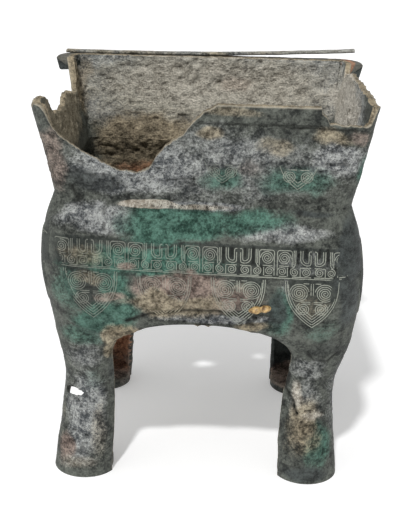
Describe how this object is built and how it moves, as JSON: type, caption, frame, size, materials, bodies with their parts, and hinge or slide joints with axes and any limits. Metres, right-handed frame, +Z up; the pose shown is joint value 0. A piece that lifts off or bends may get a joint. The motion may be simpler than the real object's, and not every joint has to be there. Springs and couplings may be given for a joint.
{
  "type": "square bronze ding",
  "caption": "Square bronze cooking vessel: a flaring neck over a bulging belly on hollow half-round legs, its rim and lip partly broken away.",
  "frame": {"origin": "on the ground under the middle of the overall box, between the feet", "axes": "+Z up, -Y towards the front, which is the broken side that the picture shows, +X to the right seen from the front"},
  "size_m": [0.215, 0.1898, 0.2508],
  "materials": {
    "patinated_bronze": "matt grey-green patina with malachite, azurite and earthy crusts",
    "golden_crust": "golden brown, half matt"
  },
  "bodies": {
    "root": {"vessel": "patinated_bronze", "stuck_lump": "golden_crust"}
  },
  "joints": []
}
